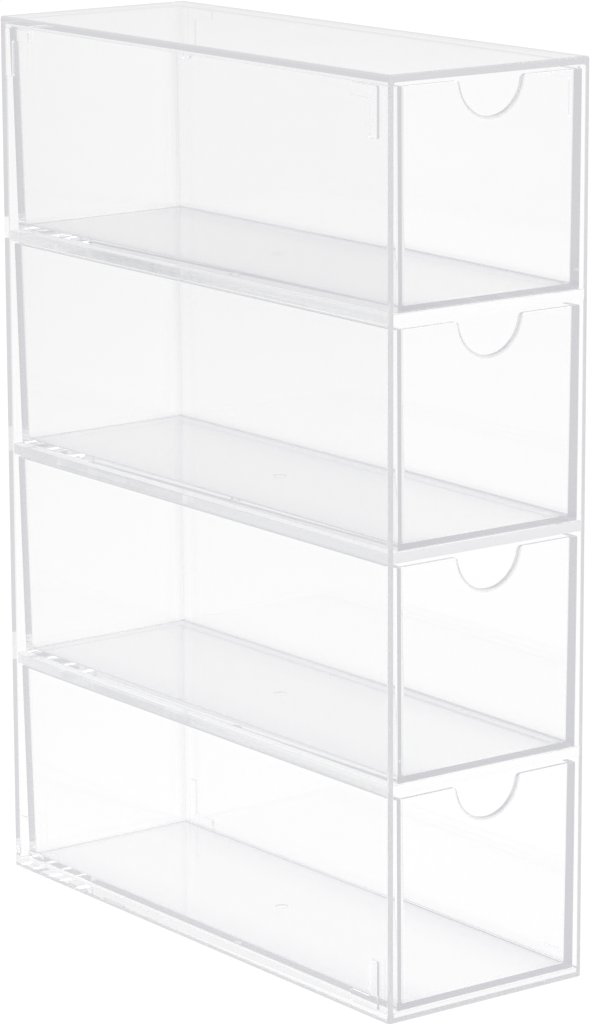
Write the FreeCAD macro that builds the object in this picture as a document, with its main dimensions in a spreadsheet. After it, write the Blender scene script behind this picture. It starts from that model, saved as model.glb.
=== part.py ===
import FreeCAD, Part
import os
import Sketcher

# A narrow upright case of clear plastic with four drawers, one above another.
# The case is a deep moulded box, open at the front, that narrows a little towards its back.
# Three flat shelves are bonded across it, and a moulded tray slides in each of the four bays.
# X runs across, -Y is the open front, +Z is up. The origin is under the middle of the base.

doc = FreeCAD.newDocument("DrawerCase")

# ---- driving sizes, in millimetres

driving_sizes = [
    ("case_width", 66.5, "outside width of the case at its open front"),
    ("case_depth", 180, "outside depth of the case"),
    ("case_height", 251, "outside height of the case at its open front"),
    ("side_wall", 1.4, "thickness of each side of the case"),
    ("base_wall", 2.8, "thickness of the base"),
    ("roof_wall", 2, "thickness of the roof"),
    ("back_wall", 1.5, "thickness of the back"),
    ("side_taper", 1.2, "how far each side has come in at the back"),
    ("roof_taper", 0.3, "how far the roof has come down at the back"),
    ("case_round", 0.7, "radius on the outer edges of the case"),
    ("cavity_round", 0.8, "radius in the inner corners of the case"),
    ("shelf_thickness", 2.8, "thickness of a shelf"),
    ("shelf_edge_round", 0.4, "radius on the front edges of a shelf"),
    ("shelf_corner_gap", 0.3, "space between a shelf's cut corner and the rounding behind it"),
    ("rib_leg_up", 13.6, "height of an L-shaped rib"),
    ("rib_leg_along", 11.5, "length of an L-shaped rib from front to back"),
    ("rib_width", 3.3, "width of each leg of a rib"),
    ("rib_height", 0.8, "how far a rib stands out of the side"),
    ("rib_root", 0.5, "how far a rib reaches into the side wall"),
    ("rib_round", 0.6, "radius on the corners of a rib's outline"),
    ("rib_end_inset", 4, "distance from a rib to the front or back edge"),
    ("rib_edge_inset", 3, "distance from a rib to the top or bottom edge"),
    ("drawer_side_gap", 1.3, "space between a drawer and each side"),
    ("drawer_floor_gap", 0.3, "space under a drawer"),
    ("drawer_head_gap", 1.05, "space over a drawer"),
    ("drawer_back_gap", 0.5, "space behind a drawer's rim"),
    ("drawer_front_wall", 1.3, "thickness of a drawer's front at the rim"),
    ("drawer_side_wall", 2, "thickness of a drawer's sides at the rim"),
    ("drawer_back_wall", 2.3, "thickness of a drawer's back at the rim"),
    ("drawer_floor", 1.5, "thickness of a drawer's floor"),
    ("side_draft", 0.3, "how far a drawer's outer side comes in from rim to floor"),
    ("back_draft", 1.8, "how far a drawer's outer back comes in from rim to floor"),
    ("hollow_draft", 0.5, "how far the hollow's front and sides come in from rim to floor"),
    ("hollow_back_draft", 2, "how far the hollow's back comes in from rim to floor"),
    ("drawer_front_round", 0.3, "radius on the upright edges of a drawer's front"),
    ("drawer_back_round", 1, "radius on the upright edges of a drawer's back"),
    ("drawer_foot_round", 0.5, "radius round the underside of a drawer"),
    ("hollow_corner_round", 0.7, "radius on the upright corners of a drawer's hollow"),
    ("hollow_floor_round", 0.6, "radius round the floor of a drawer's hollow"),
    ("rim_round", 0.3, "radius on the rim of a drawer"),
    ("notch_radius", 10.3, "radius of the finger notch"),
    ("notch_depth", 10, "depth of the finger notch below the rim"),
    ("notch_corner_round", 1.5, "radius where the notch meets the rim"),
    ("gate_radius", 2, "radius of the moulding gate's dimple under a drawer"),
    ("gate_depth", 0.4, "depth of that dimple"),
]

sheet = doc.addObject("Spreadsheet::Sheet", "Sizes")
for row, (alias, size, meaning) in enumerate(driving_sizes, start=1):
    sheet.set(f"A{row}", meaning)
    sheet.set(f"B{row}", str(size))
    sheet.setAlias(f"B{row}", alias)
doc.recompute()

# ---- sizes that follow from the driving ones

shelf_names = ["lower_shelf", "middle_shelf", "upper_shelf"]
drawer_names = ["bottom_drawer", "lower_drawer", "upper_drawer", "top_drawer"]
bay_count = len(drawer_names)

front_y = "(-Sizes.case_depth / 2)"
back_y = "(Sizes.case_depth / 2)"
cavity_depth = "(Sizes.case_depth - Sizes.back_wall)"
mouth_width = "(Sizes.case_width - 2 * Sizes.side_wall)"
shelf_stack = f"({bay_count - 1} * Sizes.shelf_thickness)"
bay_stack = f"(Sizes.case_height - Sizes.base_wall - Sizes.roof_wall - {shelf_stack})"
bay_height = f"({bay_stack} / {bay_count})"
bay_pitch = f"({bay_height} + Sizes.shelf_thickness)"
drawer_height = f"({bay_height} - Sizes.drawer_floor_gap - Sizes.drawer_head_gap)"
drawer_depth = f"({cavity_depth} - Sizes.drawer_back_gap)"
side_angle = "atan(Sizes.side_taper / Sizes.case_depth)"
roof_angle = "atan(Sizes.roof_taper / Sizes.case_depth)"
tolerance = 0.01
mostly = 0.9  # a face looks one way when its normal has at least this much of that way


def width_behind(front_width, distance):
    # The width at this distance behind the front, between walls that follow the case's taper.
    return f"({front_width} - 2 * Sizes.side_taper * ({distance}) / Sizes.case_depth)"


def number(expression):
    return float(sheet.evalExpression(expression))


# ---- helpers for bodies, sketches and features


def new_body(name):
    body = doc.addObject("PartDesign::Body", name)
    body.Label = name
    return body


def attach(body, kind, name, plane_role, offset):
    # A sketch or plane on one of the body's own origin planes, moved along its normal.
    plane = next(item for item in body.Origin.OriginFeatures if item.Role == plane_role)
    attached = body.newObject(kind, name)
    attached.AttachmentSupport = [(plane, "")]
    attached.MapMode = "FlatFace"
    attached.setExpression("AttachmentOffset.Base.z", offset)
    doc.recompute()
    return attached


def add_loop(sketch, points):
    # A closed outline of straight lines; returns the index of its first line.
    first = sketch.GeometryCount
    count = len(points)
    for index in range(count):
        start = FreeCAD.Vector(*points[index], 0)
        end = FreeCAD.Vector(*points[(index + 1) % count], 0)
        sketch.addGeometry(Part.LineSegment(start, end), False)
    for index in range(count):
        after = first + (index + 1) % count
        sketch.addConstraint(Sketcher.Constraint("Coincident", first + index, 2, after, 1))
    return first


def add_size(sketch, name, expression, kind, *ends):
    # A dimension bound to the sheet. One that comes out negative is measured the other way
    # round, from the second end to the first.
    if number(expression) < 0:
        ends = ends[2:] + ends[:2]
        expression = f"-({expression})"
    constraint = Sketcher.Constraint(kind, *ends, number(expression))
    index = sketch.addConstraint(constraint)
    sketch.renameConstraint(index, name)
    sketch.setExpression(f"Constraints.{name}", expression)


def symmetric_outline(body, name, plane_role, offset, low, high, low_width, high_width):
    # Four straight sides about the sketch's upright axis: a rectangle or a trapezium.
    sketch = attach(body, "Sketcher::SketchObject", name, plane_role, offset)
    half_low = number(low_width) / 2
    half_high = number(high_width) / 2
    corners = [
        (-half_low, number(low)),
        (half_low, number(low)),
        (half_high, number(high)),
        (-half_high, number(high)),
    ]
    low_side = add_loop(sketch, corners)
    high_side = low_side + 2
    for side in (low_side, high_side):
        sketch.addConstraint(Sketcher.Constraint("Symmetric", side, 1, side, 2, -2))
    add_size(sketch, "lowWidth", low_width, "DistanceX", low_side, 1, low_side, 2)
    add_size(sketch, "highWidth", high_width, "DistanceX", high_side, 2, high_side, 1)
    add_size(sketch, "low", low, "DistanceY", -1, 1, low_side, 1)
    add_size(sketch, "high", high, "DistanceY", -1, 1, high_side, 1)
    return sketch


def extrude(body, kind, name, sketch, depth, reverse=False):
    # A Pad or a Pocket. A cut that points away from the solid is refused.
    before = body.Tip.Shape.Volume if kind == "Pocket" else None
    feature = body.newObject(f"PartDesign::{kind}", name)
    feature.Profile = sketch
    feature.setExpression("Length", depth)
    feature.Reversed = reverse
    sketch.Visibility = False
    doc.recompute()
    if kind == "Pocket" and not feature.Shape.Volume < before:
        raise ValueError(f"{name} cuts nothing")
    return feature


def faces_where(feature, test):
    # Names of the flat faces whose outward normal and centre pass the test.
    names = []
    for index, face in enumerate(feature.Shape.Faces, start=1):
        flat = isinstance(face.Surface, Part.Plane)
        if flat and test(face.normalAt(0, 0), face.CenterOfMass):
            names.append(f"Face{index}")
    return names


def edges_where(feature, test):
    # Names of the edges whose two ends pass the test.
    names = []
    for index, edge in enumerate(feature.Shape.Edges, start=1):
        if test(edge.Vertexes[0].Point, edge.Vertexes[-1].Point):
            names.append(f"Edge{index}")
    return names


def draft(body, name, test, neutral_plane, angle, reverse):
    # Tilts flat faces about the line where they cross the neutral plane.
    base = body.Tip
    feature = body.newObject("PartDesign::Draft", name)
    feature.Base = (base, faces_where(base, test))
    feature.NeutralPlane = (neutral_plane, [""])
    feature.Reversed = reverse
    feature.setExpression("Angle", angle)
    doc.recompute()
    return feature


def soften(body, name, test, size, kind="Fillet"):
    # A Fillet or a Chamfer on the edges that pass the test.
    base = body.Tip
    feature = body.newObject(f"PartDesign::{kind}", name)
    feature.Base = (base, edges_where(base, test))
    feature.setExpression("Radius" if kind == "Fillet" else "Size", size)
    doc.recompute()
    return feature


def runs_along(axis, start, end):
    # Whether an edge runs mainly along one axis.
    steps = {"x": abs(end.x - start.x), "y": abs(end.y - start.y), "z": abs(end.z - start.z)}
    return steps[axis] > 0.5 * sum(steps.values())


def near(value, expression):
    return abs(value - number(expression)) < tolerance


def add_circle(sketch, name, x, y, radius):
    # A circle, placed from the sketch's origin.
    centre = FreeCAD.Vector(number(x), number(y), 0)
    normal = FreeCAD.Vector(0, 0, 1)
    circle = sketch.addGeometry(Part.Circle(centre, normal, number(radius)), False)
    if number(x) == 0:
        sketch.addConstraint(Sketcher.Constraint("PointOnObject", circle, 3, -2))
    else:
        add_size(sketch, f"{name}X", x, "DistanceX", -1, 1, circle, 3)
    add_size(sketch, f"{name}Y", y, "DistanceY", -1, 1, circle, 3)
    add_size(sketch, f"{name}Radius", radius, "Radius", circle)


# ---- the case: a drafted box, hollowed from the front, with ribs on both sides

shell = new_body("case_shell")
shell_front = attach(shell, "PartDesign::Plane", "ShellFront", "XZ_Plane", f"-{front_y}")

shell_outline = symmetric_outline(
    shell, "ShellOutline", "XY_Plane", "0",
    front_y, back_y, "Sizes.case_width", width_behind("Sizes.case_width", "Sizes.case_depth"),
)
extrude(shell, "Pad", "ShellBlock", shell_outline, "Sizes.case_height")
draft(shell, "RoofTaper", lambda normal, centre: normal.z > mostly, shell_front, roof_angle, True)
soften(shell, "ShellEdges", lambda start, end: True, "Sizes.case_round")

cavity_outline = symmetric_outline(
    shell, "CavityOutline", "XY_Plane", "Sizes.base_wall",
    front_y, f"{front_y} + {cavity_depth}", mouth_width, width_behind(mouth_width, cavity_depth),
)
mouth_height = "(Sizes.case_height - Sizes.base_wall - Sizes.roof_wall)"
extrude(shell, "Pocket", "Cavity", cavity_outline, mouth_height, reverse=True)


def is_cavity_roof(normal, centre):
    return normal.z < -mostly and near(centre.z, "Sizes.case_height - Sizes.roof_wall")


draft(shell, "CavityRoofTaper", is_cavity_roof, shell_front, roof_angle, False)


def is_cavity_corner(start, end):
    # The long corners of the cavity and the corners round its back, but not its mouth.
    ends = (start, end)
    inside = all(abs(point.x) < number(mouth_width) / 2 + tolerance for point in ends)
    before_back = all(point.y < number(f"{front_y} + {cavity_depth}") + tolerance for point in ends)
    at_mouth = all(near(point.y, front_y) for point in ends)
    return inside and before_back and not at_mouth


soften(shell, "CavityCorners", is_cavity_corner, "Sizes.cavity_round")

# Four L-shaped ribs stand out of each side, one at each corner. Their sketch lies along the
# drafted side, a little inside the wall, and they are mirrored to the other side.
rib_plane_x = "-(Sizes.case_width - Sizes.side_taper) / 2 + Sizes.rib_root"
rib_sketch = attach(shell, "Sketcher::SketchObject", "RibOutlines", "YZ_Plane", rib_plane_x)
upright_axis = FreeCAD.Vector(0, -1, 0)
turn = FreeCAD.Rotation(upright_axis, 1)
rib_sketch.AttachmentOffset = FreeCAD.Placement(rib_sketch.AttachmentOffset.Base, turn)
rib_sketch.setExpression("AttachmentOffset.Rotation.Angle", side_angle)


def add_ell(sketch, name, corner_y, corner_z, toward_y, toward_z):
    # One L: its outer corner, and the way its two legs run from there.
    along = number("Sizes.rib_leg_along") * toward_y
    up = number("Sizes.rib_leg_up") * toward_z
    across_y = number("Sizes.rib_width") * toward_y
    across_z = number("Sizes.rib_width") * toward_z
    y = number(corner_y)
    z = number(corner_z)
    corners = [
        (y, z),
        (y + along, z),
        (y + along, z + across_z),
        (y + across_y, z + across_z),
        (y + across_y, z + up),
        (y, z + up),
    ]
    first = add_loop(sketch, corners)
    for step in (0, 2, 4):
        sketch.addConstraint(Sketcher.Constraint("Horizontal", first + step))
        sketch.addConstraint(Sketcher.Constraint("Vertical", first + step + 1))
    leg_along = "Sizes.rib_leg_along" if toward_y > 0 else "-Sizes.rib_leg_along"
    leg_up = "Sizes.rib_leg_up" if toward_z > 0 else "-Sizes.rib_leg_up"
    foot = "Sizes.rib_width" if toward_z > 0 else "-Sizes.rib_width"
    shank = "Sizes.rib_width" if toward_y > 0 else "-Sizes.rib_width"
    add_size(sketch, f"{name}Along", leg_along, "DistanceX", first, 1, first, 2)
    add_size(sketch, f"{name}Up", leg_up, "DistanceY", first, 1, first + 5, 1)
    add_size(sketch, f"{name}Foot", foot, "DistanceY", first + 1, 1, first + 1, 2)
    add_size(sketch, f"{name}Shank", shank, "DistanceX", first + 4, 2, first + 4, 1)
    add_size(sketch, f"{name}Y", corner_y, "DistanceX", -1, 1, first, 1)
    add_size(sketch, f"{name}Z", corner_z, "DistanceY", -1, 1, first, 1)


rib_front = f"{front_y} + Sizes.rib_end_inset"
rib_back = f"{back_y} - Sizes.rib_end_inset"
rib_bottom = "Sizes.rib_edge_inset"
rib_top_front = "Sizes.case_height - Sizes.rib_edge_inset"
rib_top_back = "Sizes.case_height - Sizes.roof_taper - Sizes.rib_edge_inset"
add_ell(rib_sketch, "frontBottom", rib_front, rib_bottom, 1, 1)
add_ell(rib_sketch, "frontTop", rib_front, rib_top_front, 1, -1)
add_ell(rib_sketch, "backBottom", rib_back, rib_bottom, -1, 1)
add_ell(rib_sketch, "backTop", rib_back, rib_top_back, -1, -1)
ribs = extrude(
    shell, "Pad", "LeftRibs", rib_sketch, "Sizes.rib_root + Sizes.rib_height", reverse=True,
)
both_ribs = shell.newObject("PartDesign::Mirrored", "RightRibs")
both_ribs.Originals = [ribs]
mirror_plane = next(item for item in shell.Origin.OriginFeatures if item.Role == "YZ_Plane")
both_ribs.MirrorPlane = (mirror_plane, [""])
shell.Tip = both_ribs
doc.recompute()


def is_rib_corner(start, end):
    outside = abs(start.x) > number("Sizes.case_width / 2 - Sizes.side_taper")
    short = (end - start).Length < 2 * number("Sizes.rib_height")
    return outside and short and runs_along("x", start, end)


soften(shell, "RibCorners", is_rib_corner, "Sizes.rib_round")

# ---- the shelves: flat plates that meet the sides and back of the cavity


def make_shelf(name, tier):
    shelf = new_body(name)
    outline = symmetric_outline(
        shelf, f"{name}_outline", "XY_Plane", "0",
        front_y, f"{front_y} + {cavity_depth}",
        mouth_width, width_behind(mouth_width, cavity_depth),
    )
    extrude(shelf, "Pad", f"{name}_plate", outline, "Sizes.shelf_thickness")

    def is_back_corner(start, end):
        return start.y > 0 and runs_along("z", start, end)

    def is_front_edge(start, end):
        return near(start.y, front_y) and runs_along("x", start, end)

    corner_cut = "Sizes.cavity_round + Sizes.shelf_corner_gap"
    soften(shelf, f"{name}_corner_cuts", is_back_corner, corner_cut, kind="Chamfer")
    soften(shelf, f"{name}_front_edges", is_front_edge, "Sizes.shelf_edge_round")
    height = f"Sizes.base_wall + {bay_height} + {tier} * {bay_pitch}"
    shelf.setExpression("Placement.Base.z", height)
    return shelf


# ---- the drawers: drafted trays, hollowed from above, with a notch for a finger


def make_drawer(name, tier):
    drawer = new_body(name)
    rim_plane = attach(drawer, "PartDesign::Plane", f"{name}_rim", "XY_Plane", drawer_height)
    rim_width = f"({mouth_width} - 2 * Sizes.drawer_side_gap)"
    outline = symmetric_outline(
        drawer, f"{name}_outline", "XY_Plane", "0",
        front_y, f"{front_y} + {drawer_depth}",
        rim_width, width_behind(rim_width, drawer_depth),
    )
    extrude(drawer, "Pad", f"{name}_block", outline, drawer_height)

    def is_side(normal, centre):
        return abs(normal.x) > mostly

    def is_back(normal, centre):
        return normal.y > mostly

    angle = f"atan(Sizes.side_draft / {drawer_height})"
    draft(drawer, f"{name}_side_draft", is_side, rim_plane, angle, True)
    angle = f"atan(Sizes.back_draft / {drawer_height})"
    draft(drawer, f"{name}_back_draft", is_back, rim_plane, angle, True)

    def is_front_upright(start, end):
        return start.y < 0 and runs_along("z", start, end)

    def is_back_upright(start, end):
        return start.y > 0 and runs_along("z", start, end)

    def is_foot(start, end):
        return near(start.z, "0") and near(end.z, "0")

    soften(drawer, f"{name}_front_round", is_front_upright, "Sizes.drawer_front_round")
    soften(drawer, f"{name}_back_round", is_back_upright, "Sizes.drawer_back_round")
    soften(drawer, f"{name}_foot_round", is_foot, "Sizes.drawer_foot_round")

    def hollow_width(distance):
        return f"({width_behind(rim_width, distance)} - 2 * Sizes.drawer_side_wall)"

    hollow_back = f"({drawer_depth} - Sizes.drawer_back_wall)"
    hollow_front_width = hollow_width("Sizes.drawer_front_wall")
    hollow_outline = symmetric_outline(
        drawer, f"{name}_hollow_outline", "XY_Plane", drawer_height,
        f"{front_y} + Sizes.drawer_front_wall", f"{front_y} + {hollow_back}",
        hollow_front_width, hollow_width(hollow_back),
    )
    hollow_depth = f"({drawer_height} - Sizes.drawer_floor)"
    extrude(drawer, "Pocket", f"{name}_hollow", hollow_outline, hollow_depth)
    half_hollow = number(hollow_front_width) / 2

    def in_hollow(point):
        behind_front = point.y > number(f"{front_y} + Sizes.drawer_front_wall") - tolerance
        before_back = point.y < number(f"{front_y} + {hollow_back}") + tolerance
        return behind_front and before_back and abs(point.x) < half_hollow + tolerance

    def is_hollow_side(normal, centre):
        return in_hollow(centre) and abs(normal.x) > mostly

    def is_hollow_front(normal, centre):
        return in_hollow(centre) and normal.y > mostly

    def is_hollow_back(normal, centre):
        return in_hollow(centre) and normal.y < -mostly

    angle = f"atan(Sizes.hollow_draft / {drawer_height})"
    draft(drawer, f"{name}_hollow_sides", is_hollow_side, rim_plane, angle, False)
    draft(drawer, f"{name}_hollow_front", is_hollow_front, rim_plane, angle, False)
    angle = f"atan(Sizes.hollow_back_draft / {drawer_height})"
    draft(drawer, f"{name}_hollow_back", is_hollow_back, rim_plane, angle, False)

    def is_hollow_upright(start, end):
        return in_hollow(start) and in_hollow(end) and runs_along("z", start, end)

    def is_hollow_floor(start, end):
        return near(start.z, "Sizes.drawer_floor") and near(end.z, "Sizes.drawer_floor")

    soften(drawer, f"{name}_hollow_corners", is_hollow_upright, "Sizes.hollow_corner_round")
    soften(drawer, f"{name}_hollow_floor_round", is_hollow_floor, "Sizes.hollow_floor_round")

    notch = attach(
        drawer, "Sketcher::SketchObject", f"{name}_notch_outline", "XZ_Plane", f"-{front_y}",
    )
    notch_centre = f"{drawer_height} - Sizes.notch_depth + Sizes.notch_radius"
    add_circle(notch, "notch", "0", notch_centre, "Sizes.notch_radius")
    extrude(drawer, "Pocket", f"{name}_notch", notch, "2 * Sizes.drawer_front_wall")

    def is_notch_corner(start, end):
        at_rim = near(start.z, drawer_height) and near(end.z, drawer_height)
        by_notch = abs(start.x) < number("Sizes.notch_radius") + tolerance
        return at_rim and by_notch and runs_along("y", start, end)

    soften(drawer, f"{name}_notch_corners", is_notch_corner, "Sizes.notch_corner_round")

    def on_rim(point):
        # The rim dips along the notch.
        by_notch = abs(point.x) < number("Sizes.notch_radius + Sizes.notch_corner_round")
        dip = number("Sizes.notch_depth") if by_notch and point.y < 0 else 0
        return point.z > number(drawer_height) - dip - tolerance

    def is_rim(start, end):
        across_wall = runs_along("y", start, end) and abs(start.x) < number(rim_width) / 4
        return on_rim(start) and on_rim(end) and not across_wall

    soften(drawer, f"{name}_rim_round", is_rim, "Sizes.rim_round")

    gate = attach(drawer, "Sketcher::SketchObject", f"{name}_gate_outline", "XY_Plane", "0")
    add_circle(gate, "gate", "0", f"{front_y} + {drawer_depth} / 2", "Sizes.gate_radius")
    extrude(drawer, "Pocket", f"{name}_gate_dimple", gate, "Sizes.gate_depth", reverse=True)
    height = f"Sizes.base_wall + Sizes.drawer_floor_gap + {tier} * {bay_pitch}"
    drawer.setExpression("Placement.Base.z", height)
    return drawer


bodies = [shell]
for tier, name in enumerate(shelf_names):
    bodies.append(make_shelf(name, tier))
for tier, name in enumerate(drawer_names):
    bodies.append(make_drawer(name, tier))
doc.recompute()

# ---- every object is checked before anything is written

for item in doc.Objects:
    if "Invalid" in item.State or "Error" in item.State:
        raise ValueError(f"{item.Name} is {item.State}")
for body in bodies:
    if body.Shape.isNull() or not body.Shape.isValid():
        raise ValueError(f"{body.Label} has no valid shape")

os.makedirs("parts", exist_ok=True)
for body in bodies:
    body.Shape.exportStep(os.path.join("parts", f"{body.Label}.step"))
    print(body.Label, round(body.Shape.Volume), "cubic millimetres")
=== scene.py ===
import math
import bmesh
import bpy
from mathutils import Matrix, Vector


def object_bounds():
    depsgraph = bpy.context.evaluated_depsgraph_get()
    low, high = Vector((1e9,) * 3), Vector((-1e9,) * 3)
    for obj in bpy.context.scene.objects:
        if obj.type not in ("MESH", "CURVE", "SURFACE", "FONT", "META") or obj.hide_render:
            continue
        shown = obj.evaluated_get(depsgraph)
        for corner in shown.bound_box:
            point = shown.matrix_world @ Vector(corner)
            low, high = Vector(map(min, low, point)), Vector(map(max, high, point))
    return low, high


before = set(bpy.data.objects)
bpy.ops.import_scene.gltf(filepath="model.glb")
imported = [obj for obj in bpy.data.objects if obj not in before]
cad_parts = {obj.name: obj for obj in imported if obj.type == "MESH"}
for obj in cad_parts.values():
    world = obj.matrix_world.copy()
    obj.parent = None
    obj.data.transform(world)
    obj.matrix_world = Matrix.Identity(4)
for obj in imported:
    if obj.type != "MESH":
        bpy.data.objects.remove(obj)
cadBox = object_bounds()
scene = bpy.context.scene
white = (1, 1, 1, 1)
print("frame loaded:", ", ".join(sorted(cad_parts)))


def feed(tree, value, socket):
    # a socket takes a plain value or another node's output
    if isinstance(value, bpy.types.NodeSocket):
        tree.links.new(value, socket)
    else:
        socket.default_value = value


def addNode(tree, kind, **values):
    # a node of that kind; each value goes to the input or the setting of that name
    node = tree.nodes.new(kind)
    for name, value in values.items():
        if name in node.inputs:
            feed(tree, value, node.inputs[name])
        else:
            setattr(node, name, value)
    return node


def addMath(tree, operation, *values):
    # a Math node; a value is a number or another node's output
    node = addNode(tree, "ShaderNodeMath", operation=operation)
    for index, value in enumerate(values):
        feed(tree, value, node.inputs[index])
    return node.outputs[0]


def addBlend(tree, share, first, second):
    # a mix of two colours; a Mix node keeps its colours in the sockets 6 and 7
    node = addNode(tree, "ShaderNodeMix", data_type="RGBA", Factor=share)
    feed(tree, first, node.inputs[6])
    feed(tree, second, node.inputs[7])
    return node.outputs[2]


def addMixShader(tree, share, first, second):
    node = addNode(tree, "ShaderNodeMixShader")
    for index, value in enumerate((share, first, second)):
        feed(tree, value, node.inputs[index])
    return node.outputs[0]


def addRamp(tree, place, tones):
    # a ramp of greys; tones maps a place from 0 to 1 to the grey there
    ramp = addNode(tree, "ShaderNodeValToRGB", Fac=place)
    stops = ramp.color_ramp.elements
    stops.remove(stops[0])
    for index, (position, tone) in enumerate(tones.items()):
        stop = stops.new(position) if index else stops[0]
        stop.position = position
        stop.color = (tone, tone, tone, 1)
    return ramp.outputs[0]


def newMaterial(name):
    # an empty material and its node tree
    material = bpy.data.materials.new(name)
    material.use_nodes = True
    material.node_tree.nodes.clear()
    return material, material.node_tree


def newGroup(name, inputs, outputs):
    # a shader node group; inputs and outputs map a socket's name to its kind and value
    group = bpy.data.node_groups.new(name, "ShaderNodeTree")
    for side, sockets in (("INPUT", inputs), ("OUTPUT", outputs)):
        for socketName, (kind, value) in sockets.items():
            socket = group.interface.new_socket(
                socketName, in_out=side, socket_type=f"NodeSocket{kind}"
            )
            if value is not None:
                socket.default_value = value
    given = group.nodes.new("NodeGroupInput").outputs
    result = group.nodes.new("NodeGroupOutput").inputs
    return group, given, result


def makeMouldedSkin():
    # the skin of clear plastic: slow ripples from the mould, and haze where hands have been
    group, given, result = newGroup(
        "mouldedSkin",
        {
            "Vector": ("Vector", None),
            "Ripple Scale": ("Float", 30.0),
            "Polish": ("Float", 0.0),
            "Haze": ("Float", 0.01),
        },
        {"Height": ("Float", None), "Roughness": ("Float", None)},
    )
    ripples = addNode(
        group, "ShaderNodeTexNoise", Detail=0.0, Vector=given["Vector"], Scale=given["Ripple Scale"]
    ).outputs["Fac"]
    handled = addMath(group, "MULTIPLY_ADD", ripples, given["Haze"], given["Polish"])
    feed(group, ripples, result["Height"])
    feed(group, handled, result["Roughness"])
    return group


def makeFlowTint():
    # clear plastic pales and deepens a little along the way it flowed into the mould
    group, given, result = newGroup(
        "flowTint",
        {
            "Vector": ("Vector", None),
            "Pale": ("Color", white),
            "Deep": ("Color", (0.95, 0.95, 0.96, 1)),
            "Flow Scale": ("Float", 9.0),
        },
        {"Color": ("Color", None)},
    )
    flow = addNode(
        group,
        "ShaderNodeTexNoise",
        Detail=0.0,
        Distortion=0.4,
        Vector=given["Vector"],
        Scale=given["Flow Scale"],
    ).outputs["Fac"]
    feed(group, addBlend(group, flow, given["Pale"], given["Deep"]), result["Color"])
    return group


mouldedSkin = makeMouldedSkin()
flowTint = makeFlowTint()

# where the drawers stand in the case, and how high the middle of a notch is above a drawer's foot
bays = {"Foot": 0.0031, "Pitch": 0.06225, "Notch Height": 0.0584}


def addZones(tree, place, zones):
    # a mask; the reaches of one zone multiply, and the strongest zone counts
    spot = addNode(tree, "ShaderNodeSeparateXYZ", Vector=place).outputs
    rise = addMath(tree, "SUBTRACT", spot["Z"], bays["Foot"])
    level = addMath(tree, "FLOORED_MODULO", rise, bays["Pitch"])
    below = addMath(tree, "SUBTRACT", level, bays["Notch Height"])
    square = addMath(tree, "MULTIPLY", below, below)
    squares = addMath(tree, "MULTIPLY_ADD", spot["X"], spot["X"], square)
    ways = {
        "Y": spot["Y"],
        "Z": spot["Z"],
        "Rise": rise,  # from the bottom drawer's foot
        "Side": addMath(tree, "ABSOLUTE", spot["X"]),
        "Level": level,  # from the foot of the drawer there
        "Notch": addMath(tree, "SQRT", squares),  # from the middle of its notch
    }
    strongest = 0.0
    for zone in zones:
        share = 1.0
        for way, reach in zone.items():
            band = addNode(tree, "ShaderNodeMapRange", Value=ways[way], **reach)
            share = addMath(tree, "MULTIPLY", share, band.outputs[0])
        strongest = addMath(tree, "MAXIMUM", strongest, share)
    return strongest


def addPlastic(tree, place, look):
    # clear plastic: it bends what is behind it and takes up a little light
    skin = addNode(tree, "ShaderNodeGroup", node_tree=mouldedSkin)
    tint = addNode(tree, "ShaderNodeGroup", node_tree=flowTint)
    for group in (skin, tint):
        feed(tree, place, group.inputs["Vector"])
        for socket in group.inputs:
            if socket.name in look:
                socket.default_value = look[socket.name]
    colour = tint.outputs["Color"]
    # painted shade: in the shade zones the base colour darkens towards the shade colour
    if "Shade Zones" in look:
        colour = addBlend(tree, addZones(tree, place, look["Shade Zones"]), colour, look["Shade"])
    bump = addNode(
        tree,
        "ShaderNodeBump",
        Strength=look["Bump"],
        Distance=look["Bump Distance"],
        Height=skin.outputs["Height"],
    )
    plastic = addNode(
        tree,
        "ShaderNodeBsdfPrincipled",
        Metallic=0.0,
        IOR=look["IOR"],
        Roughness=skin.outputs["Roughness"],
        Normal=bump.outputs["Normal"],
    )
    plastic.inputs["Transmission Weight"].default_value = 1.0
    feed(tree, colour, plastic.inputs["Base Color"])
    return plastic.outputs["BSDF"]


def addEdges(tree, place, rays, look):
    # painted light: past the bounce limit, a wall glows in the edge's tone, standing in for the
    # light held between its two faces
    most = look["Most Bounces"]
    # in the sooner zones this painted glow starts after fewer bounces
    if "Sooner Zones" in look:
        sooner = addZones(tree, place, look["Sooner Zones"])
        most = addMath(tree, "MULTIPLY_ADD", sooner, -look["Fewer"], most)
    paintedGlowShare = addMath(tree, "GREATER_THAN", rays["Ray Depth"], most)
    # painted edge lines: to the camera, the edge zones glow in that tone and the pale zones glow in
    # a paler painted tone
    edges = addZones(tree, place, look["Edge Zones"])
    seen = addMath(tree, "MULTIPLY", edges, rays["Is Camera Ray"])
    paintedGlowShare = addMath(tree, "MAXIMUM", paintedGlowShare, seen)
    tone = look["Edge Tone"]
    if "Pale Zones" in look:
        zones = addZones(tree, place, look["Pale Zones"])
        pale = addMath(tree, "MULTIPLY", zones, rays["Is Camera Ray"])
        paintedGlowShare = addMath(tree, "MAXIMUM", paintedGlowShare, pale)
        tone = addBlend(tree, pale, tone, look["Pale Tone"])
    return paintedGlowShare, addNode(tree, "ShaderNodeEmission", Color=tone).outputs[0]


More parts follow.
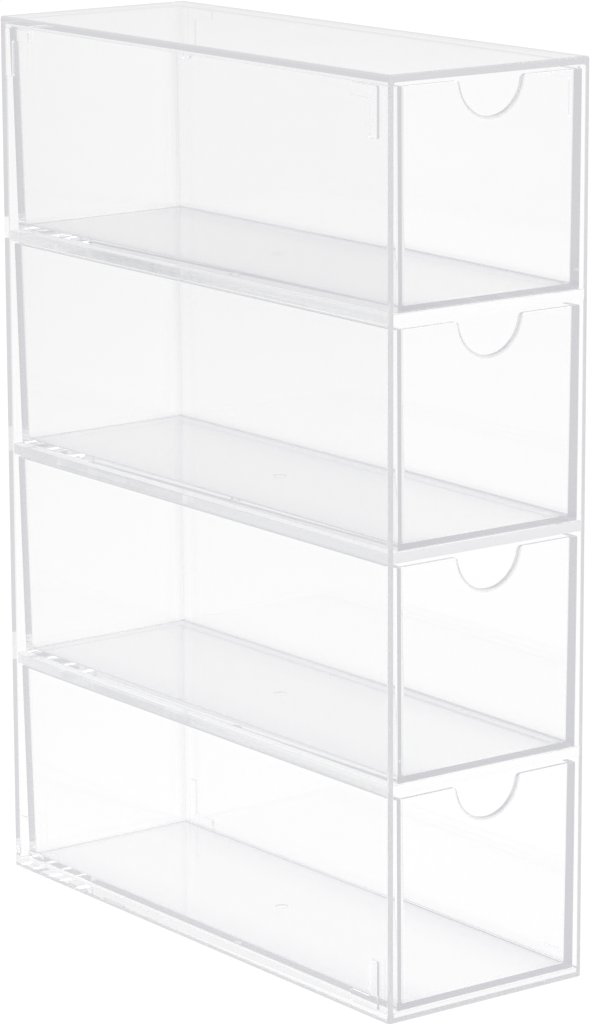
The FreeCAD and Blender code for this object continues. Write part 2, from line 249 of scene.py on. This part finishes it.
def makeClearPlastic(name, look):
    material, tree = newMaterial(name)
    place = addNode(tree, "ShaderNodeTexCoord").outputs["Object"]
    rays = addNode(tree, "ShaderNodeLightPath").outputs
    plastic = addPlastic(tree, place, look)
    lampWay = addNode(tree, "ShaderNodeBsdfTransparent", Color=look["Lamp Tint"]).outputs[0]
    lit = addMixShader(tree, rays["Is Shadow Ray"], plastic, lampWay)
    # painted light and shade: where the share says, a glow in the edge's tone takes the plastic's
    # place
    paintedGlowShare, paintedEdgeGlow = addEdges(tree, place, rays, look)
    inside = addNode(
        tree, "ShaderNodeVolumeAbsorption", Color=look["Inner Tint"], Density=look["Density"]
    )
    addNode(
        tree,
        "ShaderNodeOutputMaterial",
        Surface=addMixShader(tree, paintedGlowShare, lit, paintedEdgeGlow),
        Volume=inside.outputs["Volume"],
    )
    return material


def dress(name, material):
    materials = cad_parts[name].data.materials
    materials.clear()
    materials.append(material)


caseLook = {
    "IOR": 1.49,
    "Pale": white,
    "Deep": (0.993, 0.993, 0.995, 1),
    "Flow Scale": 9.0,
    "Ripple Scale": 26.0,
    "Polish": 0.0,
    "Haze": 0.008,
    "Bump": 0.05,
    "Bump Distance": 0.0004,
    "Lamp Tint": (0.97, 0.97, 0.975, 1),
    "Inner Tint": (0.55, 0.56, 0.62, 1),
    "Density": 1.2,
    # the colours of the painted edge glow and of the painted pale glow
    "Edge Tone": (0.7, 0.7, 0.72, 1),
    "Pale Tone": (0.95, 0.95, 0.96, 1),
    "Most Bounces": 13.5,
    "Fewer": 10.0,
    # the roof, where the painted glow starts after fewer bounces
    "Sooner Zones": [{"Z": {"From Min": 0.2469, "From Max": 0.2474}}],
    # painted dark edge lines that the camera sees
    "Edge Zones": [
        # the bottom edge all round
        {"Z": {"From Min": 0.0011, "From Max": 0.0016, "To Min": 0.85, "To Max": 0.0}},
        # the front edges above the base
        {
            "Y": {"From Min": -0.0899, "From Max": -0.0896, "To Min": 0.9, "To Max": 0.0},
            "Z": {"From Min": 0.0028, "From Max": 0.0034},
        },
        # the side walls' front edges down to the table
        {
            "Y": {"From Min": -0.0899, "From Max": -0.0896, "To Min": 0.9, "To Max": 0.0},
            "Side": {"From Min": 0.0316, "From Max": 0.032},
        },
    ],
    # a painted pale glow on the upper half of the base's front
    "Pale Zones": [
        {
            "Y": {"From Min": -0.0899, "From Max": -0.0896, "To Min": 1.0, "To Max": 0.0},
            "Z": {"From Min": 0.0014, "From Max": 0.0018},
            "Rise": {"From Min": -0.0004, "From Max": 0.0, "To Min": 1.0, "To Max": 0.0},
            "Side": {"From Min": 0.0314, "From Max": 0.0318, "To Min": 1.0, "To Max": 0.0},
        },
    ],
}
dress("case_shell", makeClearPlastic("clearCasePlastic", caseLook))

shelfLook = {
    "IOR": 1.49,
    "Pale": white,
    "Deep": (0.994, 0.994, 0.995, 1),
    "Flow Scale": 6.0,
    "Ripple Scale": 16.0,
    "Polish": 0.0,
    "Haze": 0.01,
    "Bump": 0.03,
    "Bump Distance": 0.0004,
    "Lamp Tint": (0.97, 0.97, 0.975, 1),
    "Inner Tint": (0.6, 0.61, 0.65, 1),
    "Density": 0.8,
    "Most Bounces": 13.5,
    # a painted edge line along the front edge
    "Edge Zones": [
        {"Y": {"From Min": -0.0898, "From Max": -0.0896, "To Min": 0.95, "To Max": 0.0}},
    ],
}
# the colour of each shelf's painted edge glow
shelfPaintedEdgeTones = {
    "lower_shelf": white,
    "middle_shelf": (0.84, 0.84, 0.86, 1),
    "upper_shelf": white,
}
for name, paintedEdgeTone in shelfPaintedEdgeTones.items():
    look = shelfLook | {"Edge Tone": paintedEdgeTone}
    dress(name, makeClearPlastic(f"clearPlate_{name}", look))

drawerLook = {
    "IOR": 1.49,
    "Pale": white,
    "Deep": (0.994, 0.994, 0.996, 1),
    "Flow Scale": 12.0,
    "Ripple Scale": 22.0,
    "Polish": 0.0,
    "Haze": 0.01,
    "Bump": 0.05,
    "Bump Distance": 0.0004,
    "Lamp Tint": (0.97, 0.97, 0.975, 1),
    "Inner Tint": (0.55, 0.56, 0.62, 1),
    "Density": 1.2,
    # the colour of the painted shade, and then of the painted edge glow
    "Shade": (0.9, 0.9, 0.92, 1),
    "Edge Tone": (0.66, 0.66, 0.685, 1),
    "Most Bounces": 13.5,
    # a painted dark line along the lip of the notch
    "Edge Zones": [
        {
            "Notch": {"From Min": 0.0104, "From Max": 0.0113, "To Min": 0.6, "To Max": 0.0},
            "Y": {"From Min": -0.088, "From Max": -0.087, "To Min": 1.0, "To Max": 0.0},
        },
    ],
    # painted shade, where the base colour darkens
    "Shade Zones": [
        # painted shade in the back corners
        {
            "Side": {"From Min": 0.0255, "From Max": 0.0272},
            "Y": {"From Min": 0.0838, "From Max": 0.0858},
        },
        # painted shade along the floor's two long edges
        {
            "Level": {"From Min": 0.002, "From Max": 0.003, "To Min": 0.7, "To Max": 0.0},
            "Side": {"From Min": 0.012, "From Max": 0.0262},
        },
    ],
}
drawerMaterial = makeClearPlastic("clearDrawerPlastic", drawerLook)
for name in ("bottom_drawer", "lower_drawer", "upper_drawer", "top_drawer"):
    dress(name, drawerMaterial)
print("clear plastic laid on", len(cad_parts), "nodes")


def placeStage(name, shape, material):
    mesh = bpy.data.meshes.new(name)
    shape.to_mesh(mesh)
    shape.free()
    mesh.materials.append(material)
    piece = bpy.data.objects.new(name, mesh)
    scene.collection.objects.link(piece)


def addGlow(tree, rays, dim, glow):
    # white to the camera; where the object mirrors it, it dims as dim says
    bright = addMath(tree, "MAXIMUM", rays["Is Camera Ray"], dim)
    strength = addMath(tree, "MULTIPLY", bright, glow)
    return addNode(tree, "ShaderNodeEmission", Color=white, Strength=strength).outputs[0]


floorLook = {
    "Radius": 6.0,
    "Segments": 96,
    "Height": -0.0002,
    "Paint": (0.9, 0.9, 0.9, 1),
    "Glow Share": 0.94,
    "Glow": 1.04,
    "Dim Way": (-0.8, 0.6, 0.0),
    "Tones": {0.0: 0.86, 0.475: 1.0, 0.525: 1.0, 1.0: 0.72},
}


def makeFloor():
    # a pale floor that keeps the object's shadow and dims along one way
    shape = bmesh.new()
    bmesh.ops.create_circle(
        shape, cap_ends=True, radius=floorLook["Radius"], segments=floorLook["Segments"]
    )
    bmesh.ops.translate(shape, verts=shape.verts, vec=(0, 0, floorLook["Height"]))
    material, tree = newMaterial("paleFloor")
    place = addNode(tree, "ShaderNodeTexCoord").outputs["Object"]
    away = addNode(tree, "ShaderNodeVectorMath", operation="DOT_PRODUCT")
    feed(tree, place, away.inputs[0])
    feed(tree, floorLook["Dim Way"], away.inputs[1])
    # the ramp's 0 and 1 lie a metre to each side of the middle
    across = addNode(
        tree, "ShaderNodeMapRange", Value=away.outputs["Value"], **{"From Min": -1.0}
    )
    dim = addRamp(tree, across.outputs[0], floorLook["Tones"])
    rays = addNode(tree, "ShaderNodeLightPath").outputs
    glow = addGlow(tree, rays, dim, floorLook["Glow"])
    through = addMath(tree, "ADD", rays["Is Glossy Ray"], rays["Is Transmission Ray"])
    seen = addMath(tree, "ADD", rays["Is Camera Ray"], through)
    share = addMath(tree, "MULTIPLY", addMath(tree, "MINIMUM", seen, 1.0), floorLook["Glow Share"])
    paint = addNode(tree, "ShaderNodeBsdfDiffuse", Color=floorLook["Paint"]).outputs[0]
    addNode(tree, "ShaderNodeOutputMaterial", Surface=addMixShader(tree, share, paint, glow))
    placeStage("floor", shape, material)


sweepLook = {
    "Radius": 3.0,
    "Segments": 128,
    "Height": 4.0,
    "Glow": 1.02,
    "Tones": {0.3: 1.0, 0.56: 0.86, 0.66: 0.92, 0.95: 0.93},
}


def makeSweep():
    # a round pale wall, far outside the object, with a darker band part of the way up
    shape = bmesh.new()
    bmesh.ops.create_circle(
        shape, cap_ends=False, radius=sweepLook["Radius"], segments=sweepLook["Segments"]
    )
    wall = bmesh.ops.extrude_edge_only(shape, edges=shape.edges)
    top = [item for item in wall["geom"] if isinstance(item, bmesh.types.BMVert)]
    bmesh.ops.translate(shape, verts=top, vec=(0, 0, sweepLook["Height"]))
    shape.normal_update()
    shape.faces.ensure_lookup_table()
    pane = shape.faces[0]
    if pane.normal.dot(pane.calc_center_median()) > 0:
        bmesh.ops.reverse_faces(shape, faces=shape.faces)  # the faces look inwards
    material, tree = newMaterial("paleSweep")
    place = addNode(tree, "ShaderNodeTexCoord").outputs["Object"]
    height = addNode(tree, "ShaderNodeSeparateXYZ", Vector=place).outputs["Z"]
    dim = addRamp(tree, height, sweepLook["Tones"])
    rays = addNode(tree, "ShaderNodeLightPath").outputs
    glow = addGlow(tree, rays, dim, sweepLook["Glow"])
    # a camera outside the wall looks through it
    outside = addNode(tree, "ShaderNodeNewGeometry").outputs["Backfacing"]
    clear = addNode(tree, "ShaderNodeBsdfTransparent").outputs[0]
    addNode(tree, "ShaderNodeOutputMaterial", Surface=addMixShader(tree, outside, glow, clear))
    placeStage("sweep", shape, material)


skyLook = {"Overhead": 0.72, "Seen": 1.0}


def makeSky():
    world = bpy.data.worlds.new("studio")
    scene.world = world
    world.use_nodes = True
    tree = world.node_tree
    tree.nodes.clear()
    rays = addNode(tree, "ShaderNodeLightPath").outputs
    overhead, seen = (
        addNode(tree, "ShaderNodeBackground", Color=white, Strength=skyLook[name]).outputs[0]
        for name in ("Overhead", "Seen")
    )
    sky = addMixShader(tree, rays["Is Camera Ray"], overhead, seen)
    addNode(tree, "ShaderNodeOutputWorld", Surface=sky)


softBoxes = {
    "keyBox": {"place": (-1.1, -1.3, 1.9), "size": 1.2, "watts": 14.0},
    "fillBox": {"place": (1.4, -0.6, 1.6), "size": 1.0, "watts": 7.0},
}


def makeSoftBoxes():
    # square lamps that face the middle of the object
    middle = Vector((0, 0, (cadBox[0][2] + cadBox[1][2]) / 2))
    for name, box in softBoxes.items():
        light = bpy.data.lights.new(name, "AREA")
        light.shape = "SQUARE"
        light.size = box["size"]
        light.energy = box["watts"]
        lamp = bpy.data.objects.new(name, light)
        lamp.location = box["place"]
        aim = middle - lamp.location
        lamp.rotation_euler = aim.to_track_quat("-Z", "Y").to_euler()
        scene.collection.objects.link(lamp)


viewSpot = {
    "place": (-0.72153, -0.96738, 0.38723),
    "turn": -36.888,
    "tilt": 12.566,
    "roll": -0.238,
    "lens": 156.49,
    "nearest": 0.01,
}


def makeCamera():
    camera = bpy.data.objects.new("camera", bpy.data.cameras.new("camera"))
    scene.collection.objects.link(camera)
    camera.data.lens = viewSpot["lens"]
    camera.data.clip_start = viewSpot["nearest"]
    turn = Matrix.Rotation(math.radians(viewSpot["turn"]), 4, "Z")
    tilt = Matrix.Rotation(math.radians(90 - viewSpot["tilt"]), 4, "X")
    roll = Matrix.Rotation(math.radians(viewSpot["roll"]), 4, "Z")
    camera.matrix_world = Matrix.Translation(viewSpot["place"]) @ turn @ tilt @ roll
    scene.camera = camera


bounceLimits = {"any": 16, "see-through": 32}

makeFloor()
makeSweep()
makeSky()
makeSoftBoxes()
makeCamera()
scene.view_settings.view_transform = "Standard"
scene.cycles.max_bounces = bounceLimits["any"]
scene.cycles.transmission_bounces = bounceLimits["any"]
scene.cycles.glossy_bounces = bounceLimits["any"]
scene.cycles.transparent_max_bounces = bounceLimits["see-through"]
print("stage set")
